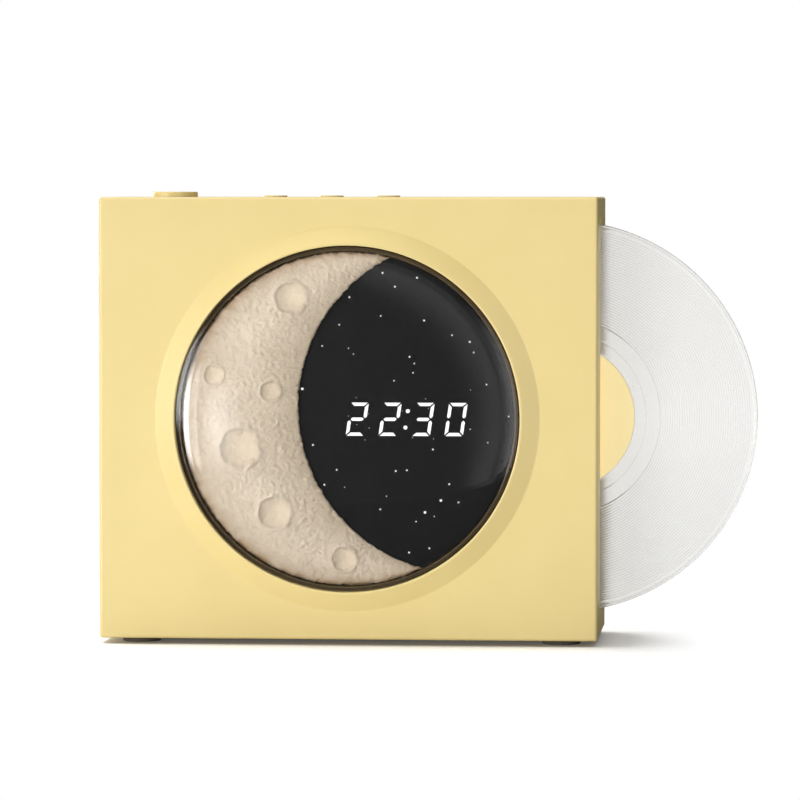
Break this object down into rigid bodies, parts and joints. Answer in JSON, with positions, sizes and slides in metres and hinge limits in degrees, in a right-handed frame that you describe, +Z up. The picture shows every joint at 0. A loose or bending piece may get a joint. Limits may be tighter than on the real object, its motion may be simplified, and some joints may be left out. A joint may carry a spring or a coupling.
{
  "type": "speaker clock",
  "caption": "Box-shaped table clock with a loudspeaker, a domed moon window with a seven-segment display, push buttons on top and a record-shaped light plate plugged into one side.",
  "frame": {"origin": "middle of the part's bounding box, on the surface it stands on", "axes": "+Z up, the front with the moon window faces -Y, the record-shaped plate stands out towards +X"},
  "size_m": [0.1486, 0.0446, 0.1025],
  "materials": {
    "yellow_plastic": "fine satin moulded ABS, pale yellow",
    "dark_gloss_plastic": "glossy brown-black",
    "clear_lens": "clear polished acrylic",
    "moon_plaster": "matt, plaster-like relief, beige",
    "sky_black": "smooth black printed panel",
    "white_plastic": "white reflector plastic",
    "black_plastic": "black moulded plastic",
    "circuit_board": "green solder mask on glass-fibre board",
    "screw_steel": "zinc-plated steel",
    "plated_steel": "nickel-plated steel",
    "dark_steel": "black-coated pressed steel",
    "ferrite": "sintered ferrite",
    "copper_coil": "enamelled copper wire",
    "spider_cloth": "resin-dipped cloth",
    "cone_paper": "black pressed paper",
    "surround_rubber": "soft black rubber and foam",
    "foot_rubber": "dark brown rubber",
    "frosted_acrylic": "translucent white acrylic with fine turned grooves",
    "yellow_label": "plain yellow label",
    "battery_wrap": "blue heat-shrink sleeve"
  },
  "bodies": {
    "case": {"front_shell": "yellow_plastic", "rear_cover": "yellow_plastic", "speaker_grille": "yellow_plastic", "rear_screw_1": "screw_steel", "rear_screw_2": "screw_steel", "rear_screw_3": "screw_steel", "rear_screw_4": "screw_steel", "foot_front_left": "foot_rubber", "foot_front_right": "foot_rubber", "foot_rear_left": "foot_rubber", "foot_rear_right": "foot_rubber", "window_bezel": "dark_gloss_plastic", "lens_dome": "clear_lens", "moon_relief": "moon_plaster", "sky_panel": "sky_black", "display_diffuser": "white_plastic", "display_module": "black_plastic", "clock_board": "circuit_board", "board_connector": "black_plastic", "main_board": "circuit_board", "board_screw_1": "screw_steel", "board_screw_2": "screw_steel", "board_screw_3": "screw_steel", "board_screw_4": "screw_steel", "speaker_basket": "dark_steel", "speaker_yoke": "plated_steel", "speaker_magnet": "ferrite", "speaker_top_plate": "plated_steel", "speaker_spider": "spider_cloth", "speaker_surround": "surround_rubber", "speaker_gasket": "surround_rubber", "speaker_screw_1": "screw_steel", "speaker_screw_2": "screw_steel", "speaker_screw_3": "screw_steel", "speaker_screw_4": "screw_steel", "key_board": "circuit_board", "switch_body_1": "black_plastic", "switch_body_2": "black_plastic", "switch_body_3": "black_plastic", "switch_body_4": "black_plastic", "disc_holder": "white_plastic", "disc_led_strip": "white_plastic", "battery_cell": "battery_wrap", "battery_holder": "black_plastic", "charge_board": "circuit_board", "usb_c_socket": "plated_steel"},
    "main_push": {"main_button": "yellow_plastic", "switch_plunger_1": "black_plastic"},
    "left_push": {"small_button_left": "yellow_plastic", "switch_plunger_2": "black_plastic"},
    "middle_push": {"small_button_middle": "yellow_plastic", "switch_plunger_3": "black_plastic"},
    "right_push": {"small_button_right": "yellow_plastic", "switch_plunger_4": "black_plastic"},
    "record_plate": {"record_disc": "frosted_acrylic", "disc_label_front": "yellow_label", "disc_label_rear": "yellow_label"},
    "speaker_moving_set": {"speaker_voice_coil": "copper_coil", "speaker_cone": "cone_paper", "speaker_dust_cap": "cone_paper"}
  },
  "joints": [
    {"name": "main_button_press", "type": "slide", "parent": "case", "child": "main_push", "axis": [0, 0, -1], "range_m": [0, 0.0005], "stiffness_N_per_m": 3000},
    {"name": "left_button_press", "type": "slide", "parent": "case", "child": "left_push", "axis": [0, 0, -1], "range_m": [0, 0.0003], "stiffness_N_per_m": 3000},
    {"name": "middle_button_press", "type": "slide", "parent": "case", "child": "middle_push", "axis": [0, 0, -1], "range_m": [0, 0.0003], "stiffness_N_per_m": 3000},
    {"name": "right_button_press", "type": "slide", "parent": "case", "child": "right_push", "axis": [0, 0, -1], "range_m": [0, 0.0003], "stiffness_N_per_m": 3000},
    {"name": "record_plate_pull", "type": "slide", "parent": "case", "child": "record_plate", "axis": [1, 0, 0], "range_m": [0, 0.012]},
    {"name": "speaker_cone_stroke", "type": "slide", "parent": "case", "child": "speaker_moving_set", "axis": [0, 1, 0], "range_m": [-0.001, 0.001], "stiffness_N_per_m": 1000}
  ]
}
